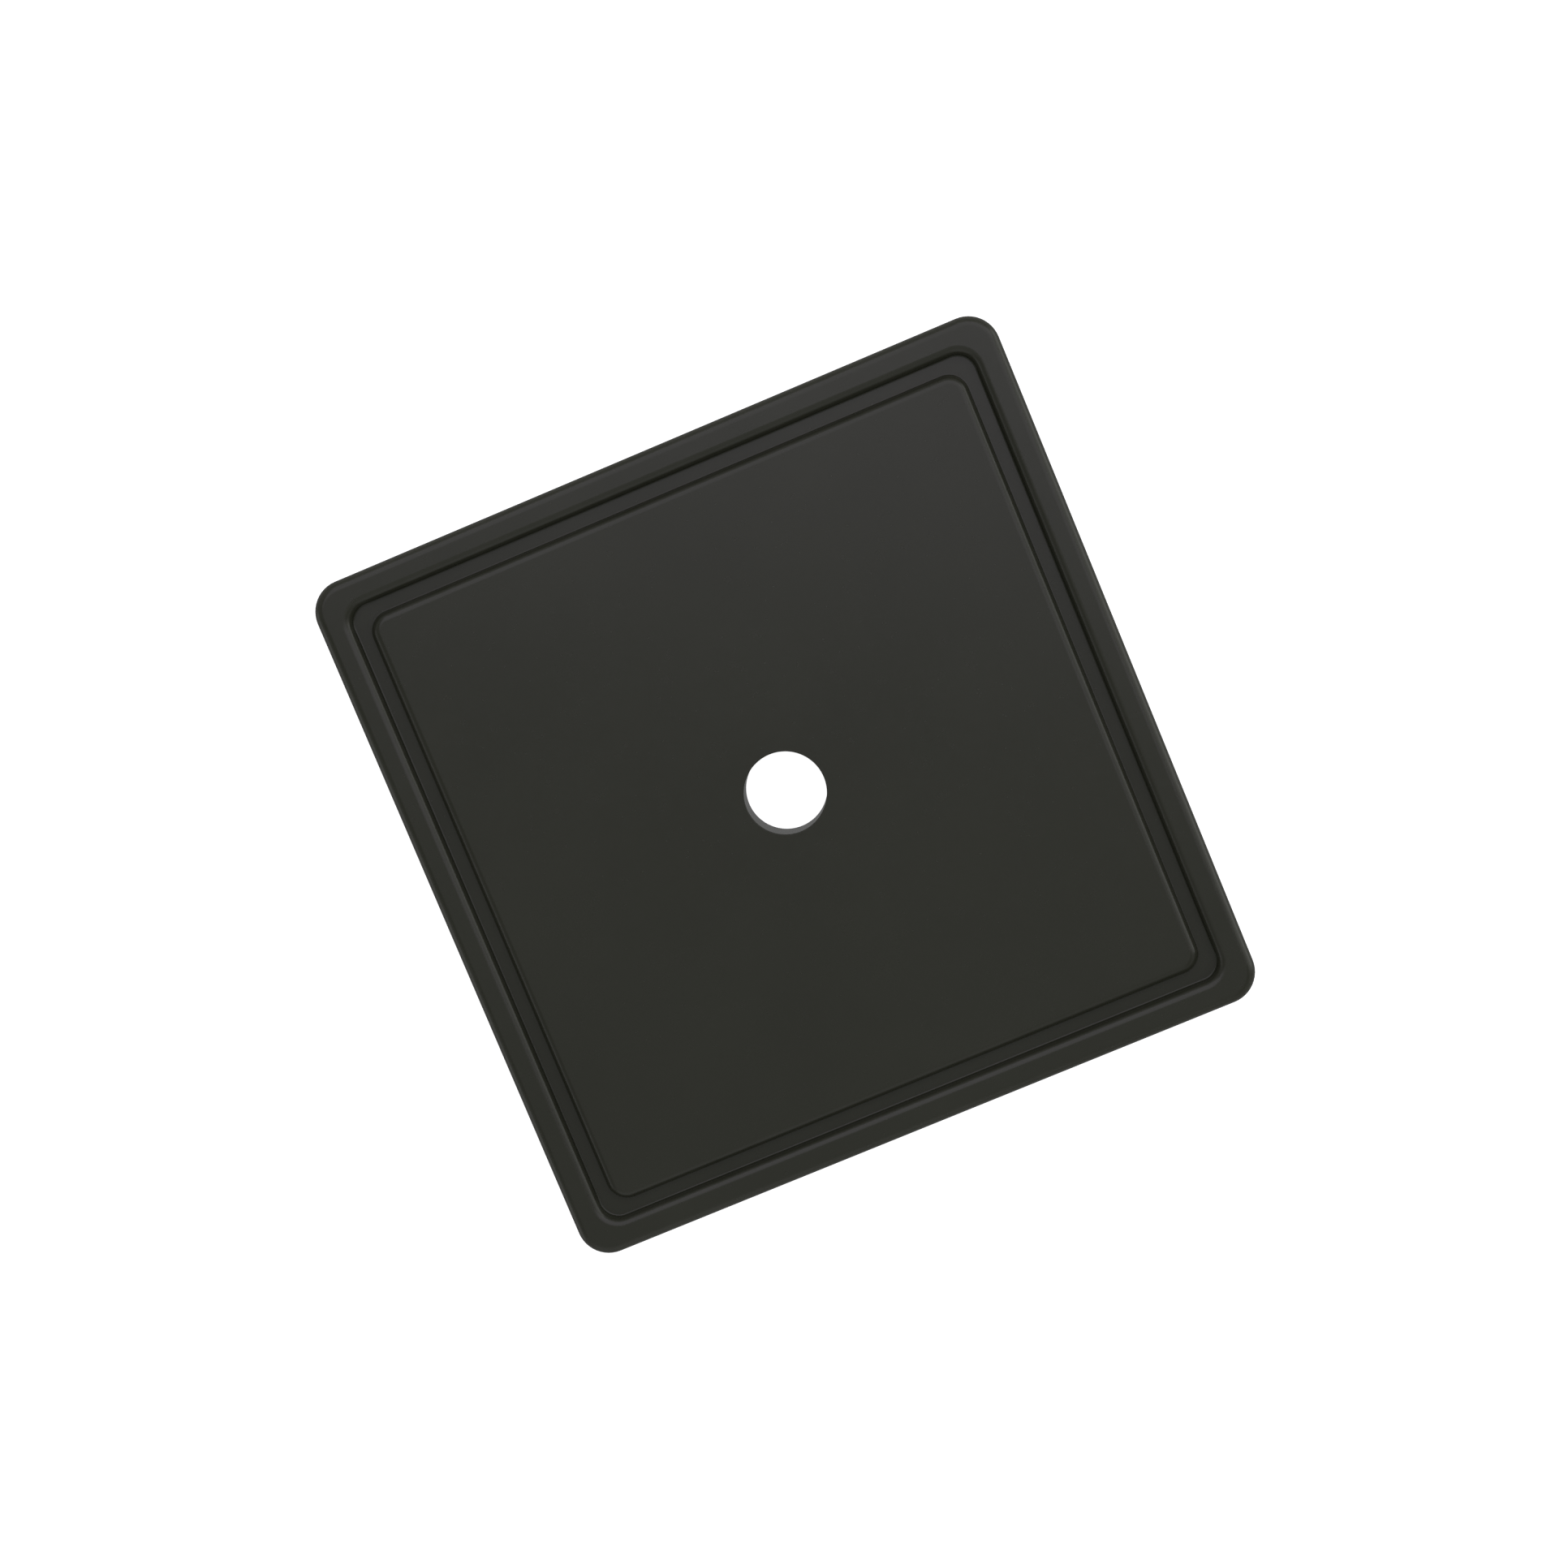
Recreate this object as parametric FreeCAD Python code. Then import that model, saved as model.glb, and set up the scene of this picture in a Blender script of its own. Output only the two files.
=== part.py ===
import FreeCAD, Part
import os

# A square backplate for a cabinet knob. It lies on its back, with its front face towards +Z.
# The origin is where the screw hole's axis meets the back plane. Lengths are in millimetres.

# Plate
PLATE_SIDE = 38.1
PLATE_THICKNESS = 3.2
PLATE_CORNER_R = 1.7
FRONT_EDGE_R = 0.55
BACK_EDGE_R = 0.2

# Channel between the raised rim and the raised centre panel
CHANNEL_INSET = 1.64
CHANNEL_WIDTH = 0.81
CHANNEL_DEPTH = 0.6
CHANNEL_CORNER_R = 1.05
RIM_EDGE_R = 0.44
PANEL_EDGE_R = 0.48
FOOT_R = 0.1

# Screw hole, and the boss that carries it through the recess in the back
HOLE_R = 2.15
BOSS_R = 4.6

# Recess in the back, which holds the self-adhesive pad
RECESS_INSET = 2.9
RECESS_DEPTH = 0.8
RECESS_CORNER_R = 1.2
PAD_CLEARANCE = 0.15
ADHESIVE_THICKNESS = 0.15

# Worked out from the dimensions above
CHANNEL_SIDE = PLATE_SIDE - 2 * CHANNEL_INSET
PANEL_SIDE = CHANNEL_SIDE - 2 * CHANNEL_WIDTH
CHANNEL_FLOOR_Z = PLATE_THICKNESS - CHANNEL_DEPTH
RECESS_SIDE = PLATE_SIDE - 2 * RECESS_INSET
PAD_SIDE = RECESS_SIDE - 2 * PAD_CLEARANCE
PAD_CORNER_R = RECESS_CORNER_R - PAD_CLEARANCE
PAD_HOLE_R = BOSS_R + PAD_CLEARANCE
PAD_TOP_Z = RECESS_DEPTH - ADHESIVE_THICKNESS

UP = FreeCAD.Vector(0, 0, 1)
TOLERANCE = 1e-4


def rounded_square(side, corner_r, z):
    """A square face with round corners, centred on the Z axis at height z."""
    half = side / 2
    flat = half - corner_r
    mid = flat + corner_r * 0.5**0.5
    turn = FreeCAD.Rotation(UP, 90)
    start = FreeCAD.Vector(half, -flat, z)
    end = FreeCAD.Vector(half, flat, z)
    corner_mid = FreeCAD.Vector(mid, mid, z)
    corner_end = FreeCAD.Vector(flat, half, z)
    edges = []
    for _ in range(4):
        edges.append(Part.LineSegment(start, end).toShape())
        edges.append(Part.Arc(end, corner_mid, corner_end).toShape())
        start, end, corner_mid, corner_end = [
            turn.multVec(point) for point in (start, end, corner_mid, corner_end)
        ]
    return Part.Face(Part.Wire(edges))


def rounded_block(side, corner_r, z_low, z_high):
    """A square block with round corners, from z_low up to z_high."""
    return rounded_square(side, corner_r, z_low).extrude(UP * (z_high - z_low))


def rod(radius, z_low, z_high):
    """A cylinder on the Z axis, from z_low up to z_high."""
    return Part.makeCylinder(radius, z_high - z_low, UP * z_low)


def edges_of_square(shape, side, z):
    """The eight edges of the round-cornered square outline of this side at height z."""
    half = side / 2
    found = []
    for edge in shape.Edges:
        box = edge.BoundBox
        level = abs(box.ZMin - z) < TOLERANCE and abs(box.ZMax - z) < TOLERANCE
        reach = max(abs(box.XMin), abs(box.XMax), abs(box.YMin), abs(box.YMax))
        if level and abs(reach - half) < TOLERANCE:
            found.append(edge)
    return found


def round_outline(shape, side, z, radius):
    """Rounds the square outline of this side at height z."""
    return shape.makeFillet(radius, edges_of_square(shape, side, z))


def channel():
    """The space of the square channel, with sharp edges."""
    outside = rounded_block(CHANNEL_SIDE, CHANNEL_CORNER_R, CHANNEL_FLOOR_Z, PLATE_THICKNESS)
    inside = rounded_block(PANEL_SIDE, CHANNEL_CORNER_R, CHANNEL_FLOOR_Z, PLATE_THICKNESS)
    return outside.cut(inside)


def back_recess():
    """The space of the shallow recess in the back, with the boss left standing in it."""
    recess = rounded_block(RECESS_SIDE, RECESS_CORNER_R, 0, RECESS_DEPTH)
    return recess.cut(rod(BOSS_R, 0, RECESS_DEPTH))


def plate():
    """The casting: raised rim, channel, raised centre panel, screw hole, and recessed back."""
    body = rounded_block(PLATE_SIDE, PLATE_CORNER_R, 0, PLATE_THICKNESS)
    body = body.cut(channel())
    body = round_outline(body, CHANNEL_SIDE, CHANNEL_FLOOR_Z, FOOT_R)
    body = round_outline(body, PANEL_SIDE, CHANNEL_FLOOR_Z, FOOT_R)
    body = round_outline(body, PANEL_SIDE, PLATE_THICKNESS, PANEL_EDGE_R)
    body = round_outline(body, CHANNEL_SIDE, PLATE_THICKNESS, RIM_EDGE_R)
    body = round_outline(body, PLATE_SIDE, PLATE_THICKNESS, FRONT_EDGE_R)
    body = round_outline(body, PLATE_SIDE, 0, BACK_EDGE_R)
    body = body.cut(back_recess())
    return body.cut(rod(HOLE_R, 0, PLATE_THICKNESS))


def ring_sheet(z_low, z_high):
    """A square sheet that fits the recess, with a round hole that clears the boss."""
    sheet = rounded_block(PAD_SIDE, PAD_CORNER_R, z_low, z_high)
    return sheet.cut(rod(PAD_HOLE_R, z_low, z_high))


def back_pad():
    """The thin rubber pad in the recess, flush with the back plane."""
    return ring_sheet(0, PAD_TOP_Z)


def pad_adhesive():
    """The film of adhesive between the pad and the floor of the recess."""
    return ring_sheet(PAD_TOP_Z, RECESS_DEPTH)


SUB_PARTS = {
    "plate": plate,
    "back_pad": back_pad,
    "pad_adhesive": pad_adhesive,
}

os.makedirs("parts", exist_ok=True)
for name, build in SUB_PARTS.items():
    shape = build()
    shape.exportStep("parts/" + name + ".step")
    print(name, "volume", round(shape.Volume, 3), "solids", len(shape.Solids), "valid", shape.isValid())
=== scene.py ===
import math

import bmesh
import bpy
from mathutils import Matrix, Vector


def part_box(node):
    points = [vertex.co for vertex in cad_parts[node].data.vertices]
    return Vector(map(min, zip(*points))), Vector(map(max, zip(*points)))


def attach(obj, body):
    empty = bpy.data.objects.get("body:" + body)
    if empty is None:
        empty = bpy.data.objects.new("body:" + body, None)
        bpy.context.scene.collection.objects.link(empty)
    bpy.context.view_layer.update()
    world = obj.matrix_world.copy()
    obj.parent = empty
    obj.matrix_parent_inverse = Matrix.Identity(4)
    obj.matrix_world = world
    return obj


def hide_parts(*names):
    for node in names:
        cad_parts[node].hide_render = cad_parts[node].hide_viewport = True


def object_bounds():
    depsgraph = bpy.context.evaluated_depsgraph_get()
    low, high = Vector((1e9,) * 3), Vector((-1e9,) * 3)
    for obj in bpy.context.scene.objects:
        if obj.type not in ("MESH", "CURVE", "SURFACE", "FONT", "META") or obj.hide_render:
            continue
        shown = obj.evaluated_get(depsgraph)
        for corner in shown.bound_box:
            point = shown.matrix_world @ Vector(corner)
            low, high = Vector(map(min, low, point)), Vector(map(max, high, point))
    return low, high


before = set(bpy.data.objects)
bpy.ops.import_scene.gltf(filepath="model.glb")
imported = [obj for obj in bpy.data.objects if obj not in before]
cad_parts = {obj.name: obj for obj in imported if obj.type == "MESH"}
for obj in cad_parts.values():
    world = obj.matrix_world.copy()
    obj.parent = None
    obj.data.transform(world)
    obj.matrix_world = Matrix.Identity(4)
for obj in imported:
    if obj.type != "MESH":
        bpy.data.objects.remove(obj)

CAD_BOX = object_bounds()
PLATE_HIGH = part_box("plate")[1]
PAD_LOW, PAD_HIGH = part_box("back_pad")
MM = 0.001

# ---- The casting's section, in metres. Its side and thickness come from the frame.

HALF_SIDE = PLATE_HIGH.x
TOP_Z = PLATE_HIGH.z
PLATE_CORNER_R = 1.7 * MM
FRONT_EDGE_R = 0.55 * MM
BACK_EDGE_R = 0.2 * MM
CHANNEL_OUTER_HALF = HALF_SIDE - 1.64 * MM
CHANNEL_INNER_HALF = CHANNEL_OUTER_HALF - 0.81 * MM
CHANNEL_CORNER_R = 1.05 * MM
CHANNEL_FLOOR_Z = TOP_Z - 0.6 * MM
RIM_EDGE_R = 0.44 * MM
PANEL_EDGE_R = 0.48 * MM
FOOT_R = 0.1 * MM
HOLE_R = 2.15 * MM
BOSS_R = 4.6 * MM
RECESS_HALF = HALF_SIDE - 2.9 * MM
RECESS_CORNER_R = 1.2 * MM
RECESS_Z = 0.8 * MM
EDGE_BREAK = 0.04 * MM

# The pad's clearance in the recess is the same all round, and round the boss.
PAD_HALF = PAD_HIGH.x
PAD_HOLE_R = BOSS_R + RECESS_HALF - PAD_HALF
PAD_EDGE_R = 0.12 * MM

# The middle of each round corner is this far from the middle of the plate, along X and along Y.
# The recess and the pad share theirs. An outline with ROUND_CORE is a circle.
PLATE_CORE = HALF_SIDE - PLATE_CORNER_R
RIM_CORE = CHANNEL_OUTER_HALF - CHANNEL_CORNER_R
PANEL_CORE = CHANNEL_INNER_HALF - CHANNEL_CORNER_R
RECESS_CORE = RECESS_HALF - RECESS_CORNER_R
ROUND_CORE = 0

# ---- How finely the meshes are divided

SIDE_STEPS = 14
CORNER_STEPS = 12
QUARTER_STEPS = SIDE_STEPS + CORNER_STEPS
FILLET_STEPS = 12
SMALL_STEPS = 5
FLAT_STEPS = 7
FLAT_CROWDING = 1.4
QUARTER_TURN = math.pi / 2


def outline(core, reach, z, slope):
    """A closed outline at height z that crosses the X axis at reach: a square with round corners, or
    a circle. It is a list of points with their normals, which point outwards and up by the slope, in
    radians."""
    spots = []
    for i in range(SIDE_STEPS):
        share = i / SIDE_STEPS
        if core == ROUND_CORE:
            angle = (share - 0.5) * QUARTER_TURN * SIDE_STEPS / QUARTER_STEPS
            spots.append((reach * math.cos(angle), reach * math.sin(angle), angle))
        else:
            spots.append((reach, core * (2 * share - 1), 0))
    for i in range(CORNER_STEPS):
        share = i / CORNER_STEPS
        turned = CORNER_STEPS / QUARTER_STEPS if core == ROUND_CORE else 1
        angle = (0.5 + (share - 0.5) * turned) * QUARTER_TURN
        radius = reach - core
        spots.append((core + radius * math.cos(angle), core + radius * math.sin(angle), angle))
    level, rise = math.cos(slope), math.sin(slope)
    made = []
    for quarter in range(4):
        turn = Matrix.Rotation(quarter * QUARTER_TURN, 3, "Z")
        for x, y, angle in spots:
            normal = Vector((level * math.cos(angle), level * math.sin(angle), rise))
            made.append((turn @ Vector((x, y, z)), turn @ normal))
    return made


def arc(core, reach, z, radius, start, end, steps=SMALL_STEPS, hollow=False, wear=0.0):
    """Outlines round an arc of the section, which is centred at reach and z. Its angles are in degrees
    from outwards. A hollow arc has its normals towards its centre. The wear is greatest halfway round."""
    made = []
    for i in range(steps + 1):
        angle = math.radians(start + (end - start) * i / steps)
        slope = angle + math.pi if hollow else angle
        spots = outline(core, reach + radius * math.cos(angle), z + radius * math.sin(angle), slope)
        made.append((spots, wear * math.sin(math.pi * i / steps)))
    return made


def flat(inner, outer):
    """Outlines across a flat face, which turn from the inner outline into the outer one."""
    made = []
    for i in range(1, FLAT_STEPS):
        share = (i / FLAT_STEPS) ** FLAT_CROWDING
        made.append(([(a[0].lerp(b[0], share), a[1]) for a, b in zip(inner[0], outer[0])], 0.0))
    return made


def ring_mesh(name, section):
    """A closed mesh that joins each outline to the next, and the last to the first. The section is a
    list of outlines with their wear, anticlockwise as seen with outwards to the right."""
    mesh = bpy.data.meshes.new(name)
    bm = bmesh.new()
    wear = bm.verts.layers.float.new("edge_wear")
    rings = []
    for spots, amount in section:
        ring = [bm.verts.new(point) for point, normal in spots]
        for vertex in ring:
            vertex[wear] = amount
        rings.append(ring)
    for low, high in zip(rings, rings[1:] + rings[:1]):
        for i in range(len(low)):
            j = (i + 1) % len(low)
            bm.faces.new((low[i], low[j], high[j], high[i])).smooth = True
    bm.to_mesh(mesh)
    bm.free()
    normals = [normal for spots, amount in section for point, normal in spots]
    mesh.normals_split_custom_set_from_vertices(normals)
    piece = bpy.data.objects.new(name, mesh)
    bpy.context.scene.collection.objects.link(piece)
    return piece


def casting():
    """The plate: from the hole out over the recessed back, up the side, and back over the front."""
    e, f = EDGE_BREAK, FOOT_R
    hole_back = arc(ROUND_CORE, HOLE_R + e, e, e, 180, 270)
    boss_edge = arc(ROUND_CORE, BOSS_R - e, e, e, 270, 360)
    boss_foot = arc(ROUND_CORE, BOSS_R + e, RECESS_Z - e, e, 180, 90, hollow=True)
    recess_foot = arc(RECESS_CORE, RECESS_HALF - e, RECESS_Z - e, e, 90, 0, hollow=True)
    recess_edge = arc(RECESS_CORE, RECESS_HALF + e, e, e, 180, 270)
    back_edge = arc(PLATE_CORE, HALF_SIDE - BACK_EDGE_R, BACK_EDGE_R, BACK_EDGE_R, -90, 0, wear=1.0)
    front_edge = arc(PLATE_CORE, HALF_SIDE - FRONT_EDGE_R, TOP_Z - FRONT_EDGE_R, FRONT_EDGE_R,
                     0, 90, FILLET_STEPS, wear=1.0)
    rim_edge = arc(RIM_CORE, CHANNEL_OUTER_HALF + RIM_EDGE_R, TOP_Z - RIM_EDGE_R, RIM_EDGE_R,
                   90, 180, FILLET_STEPS, wear=1.0)
    rim_foot = arc(RIM_CORE, CHANNEL_OUTER_HALF - f, CHANNEL_FLOOR_Z + f, f, 360, 270, hollow=True)
    panel_foot = arc(PANEL_CORE, CHANNEL_INNER_HALF + f, CHANNEL_FLOOR_Z + f, f, 270, 180, hollow=True)
    panel_edge = arc(PANEL_CORE, CHANNEL_INNER_HALF - PANEL_EDGE_R, TOP_Z - PANEL_EDGE_R, PANEL_EDGE_R,
                     0, 90, FILLET_STEPS, wear=1.0)
    hole_front = arc(ROUND_CORE, HOLE_R + e, TOP_Z - e, e, 90, 180)
    recess_floor = flat(boss_foot[-1], recess_foot[0])
    back = hole_back + boss_edge + boss_foot + recess_floor + recess_foot + recess_edge
    rim = back_edge + front_edge + rim_edge + rim_foot
    front = panel_foot + panel_edge + flat(hole_front[0], panel_edge[-1])[::-1] + hole_front
    return ring_mesh("backplate_casting", back + rim + front)


def rubber_pad():
    """The pad in the recess: a sheet with softly rounded edges and a round hole for the boss."""
    low, high, r = PAD_LOW.z, PAD_HIGH.z, PAD_EDGE_R
    hole_low = arc(ROUND_CORE, PAD_HOLE_R + r, low + r, r, 180, 270)
    side_low = arc(RECESS_CORE, PAD_HALF - r, low + r, r, 270, 360)
    side_high = arc(RECESS_CORE, PAD_HALF - r, high - r, r, 0, 90)
    hole_high = arc(ROUND_CORE, PAD_HOLE_R + r, high - r, r, 90, 180)
    under = hole_low + flat(hole_low[-1], side_low[0]) + side_low
    top = side_high + flat(hole_high[0], side_high[-1])[::-1] + hole_high
    return ring_mesh("rubber_pad", under + top)


# ---- Materials. Their textures are set out in millimetres.

# Most of the noise lies between these values.
NOISE_LOW = 0.3
NOISE_HIGH = 0.7

COATING_DARK = (0.0352, 0.0377, 0.0243)
COATING_LIGHT = (0.0393, 0.0420, 0.0275)
COATING_RUBBED = (0.0620, 0.0610, 0.0480)
RUBBER_BLACK = (0.022, 0.022, 0.023)
RUBBER_BLOOM = (0.038, 0.038, 0.040)
FILM_DEEP = (0.62, 0.58, 0.47)
FILM_PALE = (0.78, 0.75, 0.66)


def new_material(name):
    """An empty node material, with its shader and a coordinate in millimetres."""
    material = bpy.data.materials.new(name)
    material.use_nodes = True
    tree = material.node_tree
    shader = tree.nodes["Principled BSDF"]
    place = tree.nodes.new("ShaderNodeTexCoord")
    scale = tree.nodes.new("ShaderNodeMapping")
    scale.inputs["Scale"].default_value = (1 / MM, 1 / MM, 1 / MM)
    tree.links.new(place.outputs["Object"], scale.inputs["Vector"])
    return material, tree, shader, scale.outputs["Vector"]


def noise(tree, place, size_mm, detail=2.0):
    """Noise whose patches are about this size."""
    node = tree.nodes.new("ShaderNodeTexNoise")
    node.inputs["Scale"].default_value = 1 / size_mm
    node.inputs["Detail"].default_value = detail
    tree.links.new(place, node.inputs["Vector"])
    return node.outputs["Fac"]


def spread(tree, value, low, high):
    """The value's middle range stretched from low to high."""
    node = tree.nodes.new("ShaderNodeMapRange")
    node.inputs["From Min"].default_value = NOISE_LOW
    node.inputs["From Max"].default_value = NOISE_HIGH
    node.inputs["To Min"].default_value = low
    node.inputs["To Max"].default_value = high
    tree.links.new(value, node.inputs["Value"])
    return node.outputs["Result"]


def mixed(tree, share, first, second):
    """A colour between the first and the second. Each is a colour or a socket."""
    node = tree.nodes.new("ShaderNodeMix")
    node.data_type = "RGBA"
    tree.links.new(share, node.inputs["Factor"])
    for name, colour in (("A", first), ("B", second)):
        socket = [s for s in node.inputs if s.name == name and s.type == "RGBA"][0]
        if isinstance(colour, bpy.types.NodeSocket):
            tree.links.new(colour, socket)
        else:
            socket.default_value = (*colour, 1.0)
    return [s for s in node.outputs if s.type == "RGBA"][0]


def bumped(tree, height, distance_mm, strength, below=None):
    """A bump of this height, on top of another bump if one is given."""
    node = tree.nodes.new("ShaderNodeBump")
    node.inputs["Distance"].default_value = distance_mm * MM
    node.inputs["Strength"].default_value = strength
    tree.links.new(height, node.inputs["Height"])
    if below is not None:
        tree.links.new(below, node.inputs["Normal"])
    return node.outputs["Normal"]


def black_bronze():
    """Satin black-bronze coating: faint mottling, fine grain, and edges rubbed a little lighter."""
    material, tree, shader, place = new_material("black_bronze_coating")
    mottle = spread(tree, noise(tree, place, size_mm=6.0, detail=3.0), low=0.0, high=1.0)
    coating = mixed(tree, mottle, COATING_DARK, COATING_LIGHT)
    wear = tree.nodes.new("ShaderNodeAttribute")
    wear.attribute_name = "edge_wear"
    patchy = tree.nodes.new("ShaderNodeMath")
    patchy.operation = "MULTIPLY"
    rubbed = spread(tree, noise(tree, place, size_mm=1.2, detail=4.0), low=0.0, high=0.3)
    tree.links.new(wear.outputs["Fac"], patchy.inputs[0])
    tree.links.new(rubbed, patchy.inputs[1])
    colour = mixed(tree, patchy.outputs["Value"], coating, COATING_RUBBED)
    satin = spread(tree, noise(tree, place, size_mm=0.5, detail=3.0), low=0.245, high=0.275)
    grain = bumped(tree, noise(tree, place, size_mm=0.15, detail=1.0), distance_mm=0.002, strength=0.3)
    waves = noise(tree, place, size_mm=2.5, detail=1.0)
    surface = bumped(tree, waves, distance_mm=0.01, strength=0.1, below=grain)
    tree.links.new(colour, shader.inputs["Base Color"])
    tree.links.new(satin, shader.inputs["Roughness"])
    tree.links.new(surface, shader.inputs["Normal"])
    shader.inputs["IOR"].default_value = 1.5
    return material


def pad_rubber():
    """Matt black rubber with a fine grain and a bloom of grey."""
    material, tree, shader, place = new_material("black_sheet_rubber")
    bloom = spread(tree, noise(tree, place, size_mm=4.0, detail=4.0), low=0.0, high=1.0)
    colour = mixed(tree, bloom, RUBBER_BLACK, RUBBER_BLOOM)
    matt = spread(tree, noise(tree, place, size_mm=0.8, detail=3.0), low=0.68, high=0.86)
    grain = bumped(tree, noise(tree, place, size_mm=0.22), distance_mm=0.03, strength=0.5)
    tree.links.new(colour, shader.inputs["Base Color"])
    tree.links.new(matt, shader.inputs["Roughness"])
    tree.links.new(grain, shader.inputs["Normal"])
    return material


def adhesive():
    """Cloudy pale adhesive film."""
    material, tree, shader, place = new_material("adhesive_film")
    cloud = spread(tree, noise(tree, place, size_mm=1.5, detail=3.0), low=0.0, high=1.0)
    colour = mixed(tree, cloud, FILM_DEEP, FILM_PALE)
    sheen = spread(tree, noise(tree, place, size_mm=0.6), low=0.35, high=0.55)
    ripples = bumped(tree, noise(tree, place, size_mm=0.4), distance_mm=0.02, strength=0.4)
    tree.links.new(colour, shader.inputs["Base Color"])
    tree.links.new(sheen, shader.inputs["Roughness"])
    tree.links.new(ripples, shader.inputs["Normal"])
    return material


# ---- Camera: it looks almost straight down at the front, a little from the +X +Y side.

CAMERA_TILT = math.radians(4.62)
CAMERA_SIDE = math.radians(48.6)
CAMERA_UP = math.radians(67.34)
CAMERA_DISTANCE = 0.1258
CAMERA_LENS = 55.9
AIM = Vector((0.12 * MM, 0.455 * MM, TOP_Z))

BACK = Vector((math.sin(CAMERA_TILT) * math.cos(CAMERA_SIDE),
               math.sin(CAMERA_TILT) * math.sin(CAMERA_SIDE),
               math.cos(CAMERA_TILT)))
RIGHT = Vector((math.cos(CAMERA_UP), math.sin(CAMERA_UP), 0)).cross(BACK).normalized()
UP = BACK.cross(RIGHT)


def camera():
    """The camera that takes the photograph's view."""
    data = bpy.data.cameras.new("camera")
    data.lens = CAMERA_LENS
    data.clip_start = 0.01
    data.clip_end = 10
    made = bpy.data.objects.new("camera", data)
    turn = Matrix((RIGHT, UP, BACK)).transposed().to_4x4()
    made.matrix_world = Matrix.Translation(AIM + BACK * CAMERA_DISTANCE) @ turn
    bpy.context.scene.collection.objects.link(made)
    bpy.context.scene.camera = made


# ---- Floor and light

FLOOR_SIDE = 3.0
PALE_GLOW = 0.95
BACKDROP_SIDE = 2.4
BACKDROP_HEIGHT = 2.0
LIGHT_DISTANCE = 0.6
FAR_LIGHT_SIDE = math.radians(65)
OVERHEAD = Vector((0, 0, 1))
RIGHTWARDS = Vector((1, 0, 0))
COOL_WHITE = (1.03, 0.98, 1.11)
# How bright the room is against the sine of the height above the level of the floor
ROOM_GLOW = ((-0.1, 0.27), (0.1, 0.10), (0.28, 0.24), (0.5, 0.24), (0.75, 0.10))


def pale_surface():
    """A pale surface that glows evenly, as a light table does."""
    material = bpy.data.materials.new("pale_surface")
    material.use_nodes = True
    shader = material.node_tree.nodes["Principled BSDF"]
    shader.inputs["Base Color"].default_value = (0.85, 0.85, 0.85, 1)
    shader.inputs["Roughness"].default_value = 0.9
    shader.inputs["Specular IOR Level"].default_value = 0.1
    shader.inputs["Emission Color"].default_value = (1, 1, 1, 1)
    shader.inputs["Emission Strength"].default_value = PALE_GLOW
    material.cycles.emission_sampling = "NONE"
    return material


def staged(name, bm, material):
    """A part of the stage, which stands at floor level. Nothing shows it in its gloss."""
    mesh = bpy.data.meshes.new(name)
    bm.to_mesh(mesh)
    bm.free()
    mesh.materials.append(material)
    made = bpy.data.objects.new(name, mesh)
    made.location.z = CAD_BOX[0].z
    made.visible_glossy = False
    bpy.context.scene.collection.objects.link(made)
    return made


def stage():
    """A pale floor, and an open pale box round it that only the camera sees."""
    material = pale_surface()
    ground = bmesh.new()
    bmesh.ops.create_grid(ground, x_segments=1, y_segments=1, size=FLOOR_SIDE / 2)
    staged("floor", ground, material)
    walls = bmesh.new()
    bmesh.ops.create_cube(walls, size=1)
    bmesh.ops.scale(walls, vec=(BACKDROP_SIDE, BACKDROP_SIDE, BACKDROP_HEIGHT), verts=walls.verts)
    lid_and_base = [face for face in walls.faces if round(face.normal.z) != 0]
    bmesh.ops.delete(walls, geom=lid_and_base, context="FACES_ONLY")
    backdrop = staged("backdrop", walls, material)
    backdrop.visible_diffuse = False
    backdrop.visible_shadow = False


def softbox(name, direction, up, width, height, radiance, colour=(1, 1, 1)):
    """A flat rectangular light that faces the plate from this direction. Its size is in metres."""
    data = bpy.data.lights.new(name, "AREA")
    data.shape = "RECTANGLE"
    data.size = width
    data.size_y = height
    data.energy = radiance * math.pi * width * height
    data.color = colour
    made = bpy.data.objects.new(name, data)
    z = direction.normalized()
    x = up.cross(z).normalized()
    y = z.cross(x)
    made.matrix_world = Matrix.Translation(z * LIGHT_DISTANCE) @ Matrix((x, y, z)).transposed().to_4x4()
    made.visible_camera = False
    bpy.context.scene.collection.objects.link(made)


def leaning(towards, degrees):
    """The direction that leans this far from overhead."""
    angle = math.radians(degrees)
    return OVERHEAD * math.cos(angle) + towards * math.sin(angle)


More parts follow.
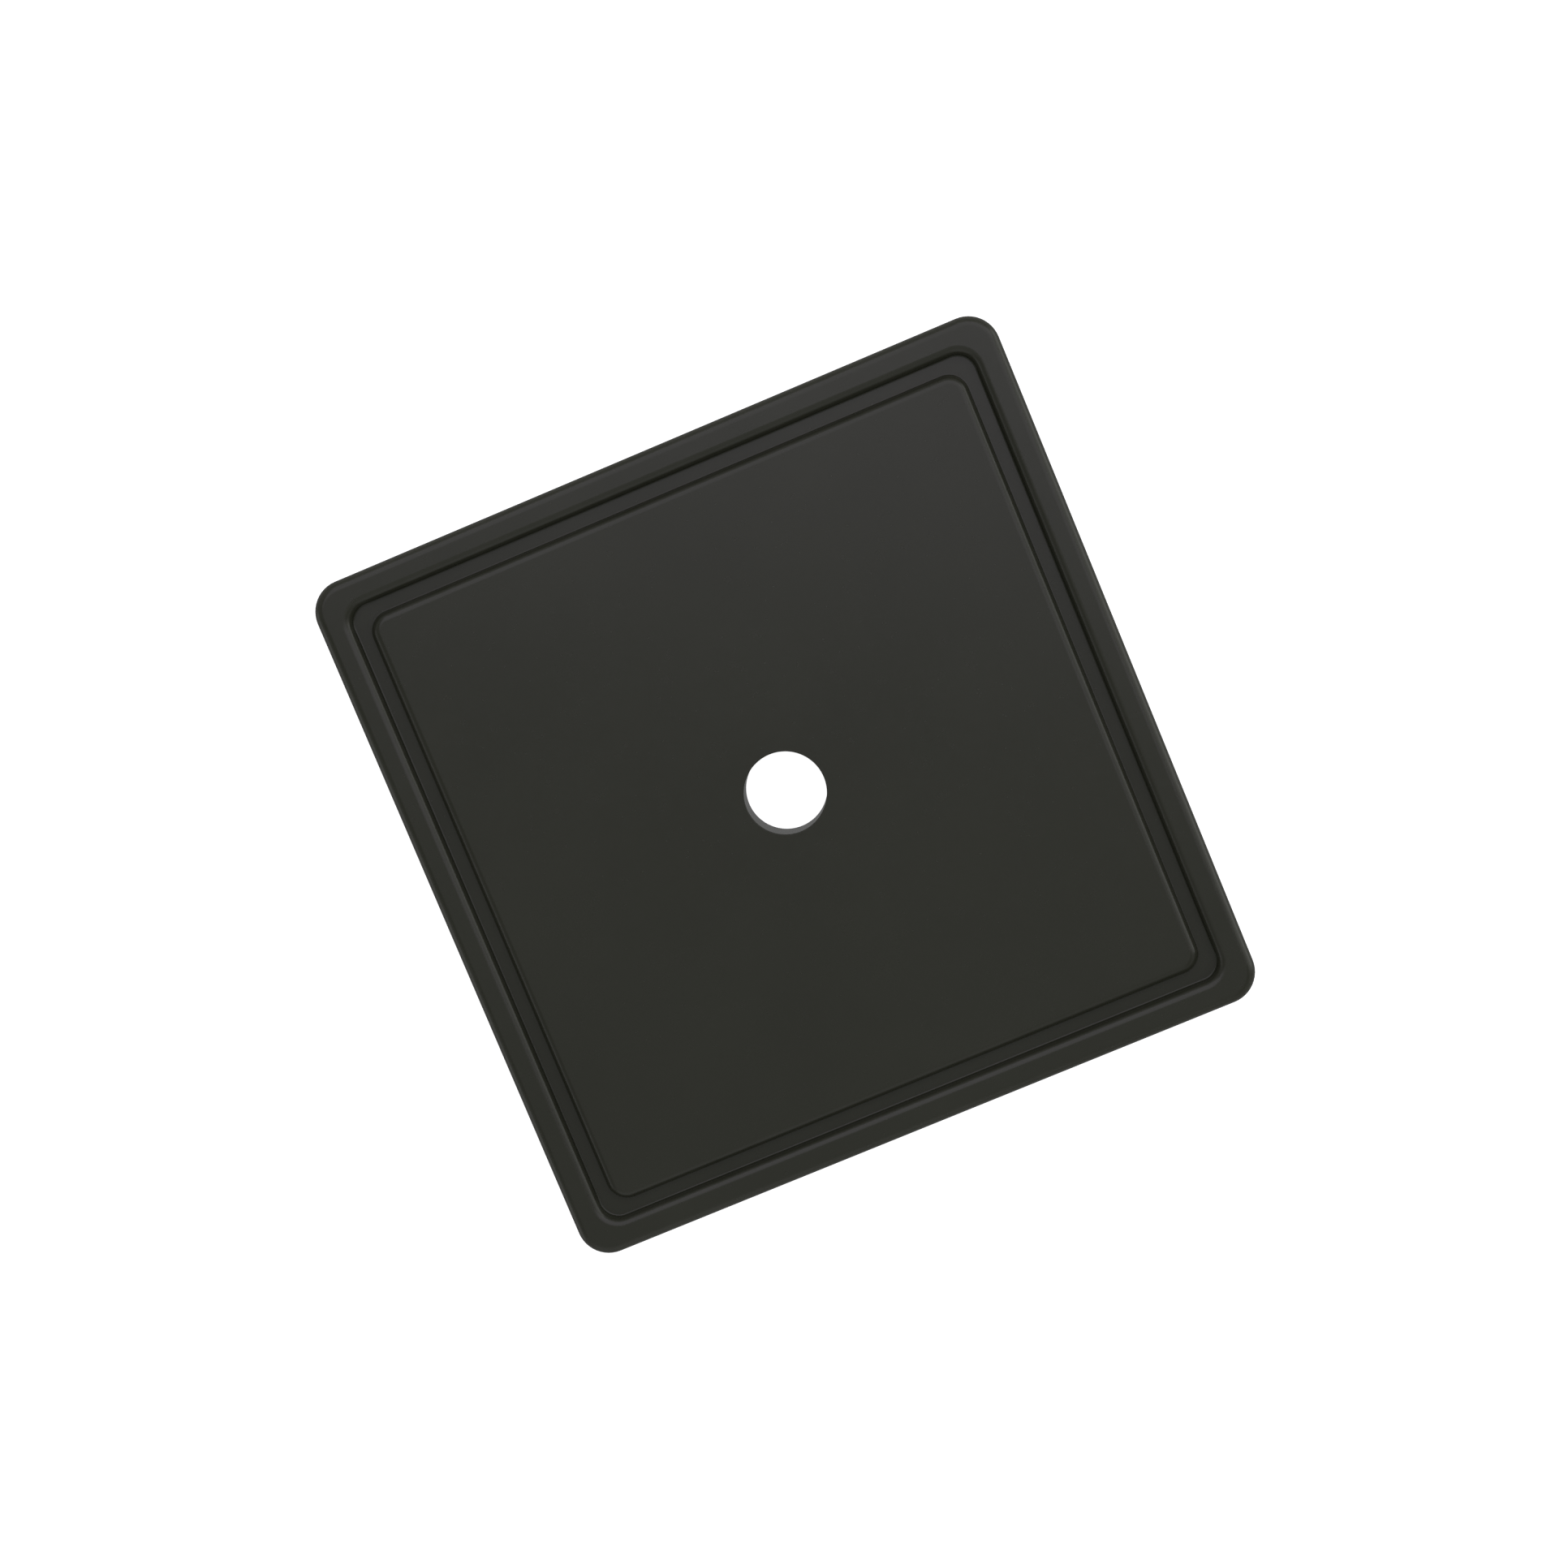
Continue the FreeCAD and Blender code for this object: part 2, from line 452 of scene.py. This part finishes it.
def room():
    """A dim room, lighter below the level of the floor and in a soft band above it."""
    world = bpy.data.worlds.new("room")
    world.use_nodes = True
    tree = world.node_tree
    place = tree.nodes.new("ShaderNodeTexCoord")
    parts = tree.nodes.new("ShaderNodeSeparateXYZ")
    height = tree.nodes.new("ShaderNodeMapRange")
    height.inputs["From Min"].default_value = -1  # straight down
    glow = tree.nodes.new("ShaderNodeValToRGB")
    steps = glow.color_ramp.elements
    steps.remove(steps[-1])
    for position, strength in ROOM_GLOW:
        step = steps.new((1 + position) / 2)
        step.color = (strength, strength, strength, 1)
    steps.remove(steps[0])
    tree.links.new(place.outputs["Generated"], parts.inputs["Vector"])
    tree.links.new(parts.outputs["Z"], height.inputs["Value"])
    tree.links.new(height.outputs["Result"], glow.inputs["Fac"])
    tree.links.new(glow.outputs["Color"], tree.nodes["Background"].inputs["Color"])
    bpy.context.scene.world = world


def lights():
    """Softboxes over the far side and to each side of the plate, and a dim fill on the near side."""
    far = Vector((math.cos(FAR_LIGHT_SIDE), math.sin(FAR_LIGHT_SIDE), 0))
    over_far, over_near = leaning(far, degrees=28.5), leaning(-far, degrees=45)
    right_high, right_low = leaning(RIGHTWARDS, degrees=57), leaning(RIGHTWARDS, degrees=84)
    left_low = leaning(-RIGHTWARDS, degrees=86)
    softbox("far_softbox", over_far, far, width=0.9, height=0.61, radiance=0.725, colour=COOL_WHITE)
    softbox("near_fill", over_near, far, width=0.6, height=1.12, radiance=0.21)
    softbox("right_softbox", right_high, OVERHEAD, width=0.5, height=0.34, radiance=0.5)
    softbox("right_strip", right_low, OVERHEAD, width=0.5, height=0.25, radiance=1.05)
    softbox("left_strip", left_low, OVERHEAD, width=0.5, height=0.21, radiance=0.6)


camera()
stage()
room()
lights()
bpy.context.scene.view_settings.view_transform = "Standard"

plate = casting()
plate.data.materials.append(black_bronze())
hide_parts("plate")
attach(plate, "root")

pad = rubber_pad()
pad.data.materials.append(pad_rubber())
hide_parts("back_pad")
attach(pad, "root")

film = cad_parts["pad_adhesive"]
film.data.materials.clear()
film.data.materials.append(adhesive())
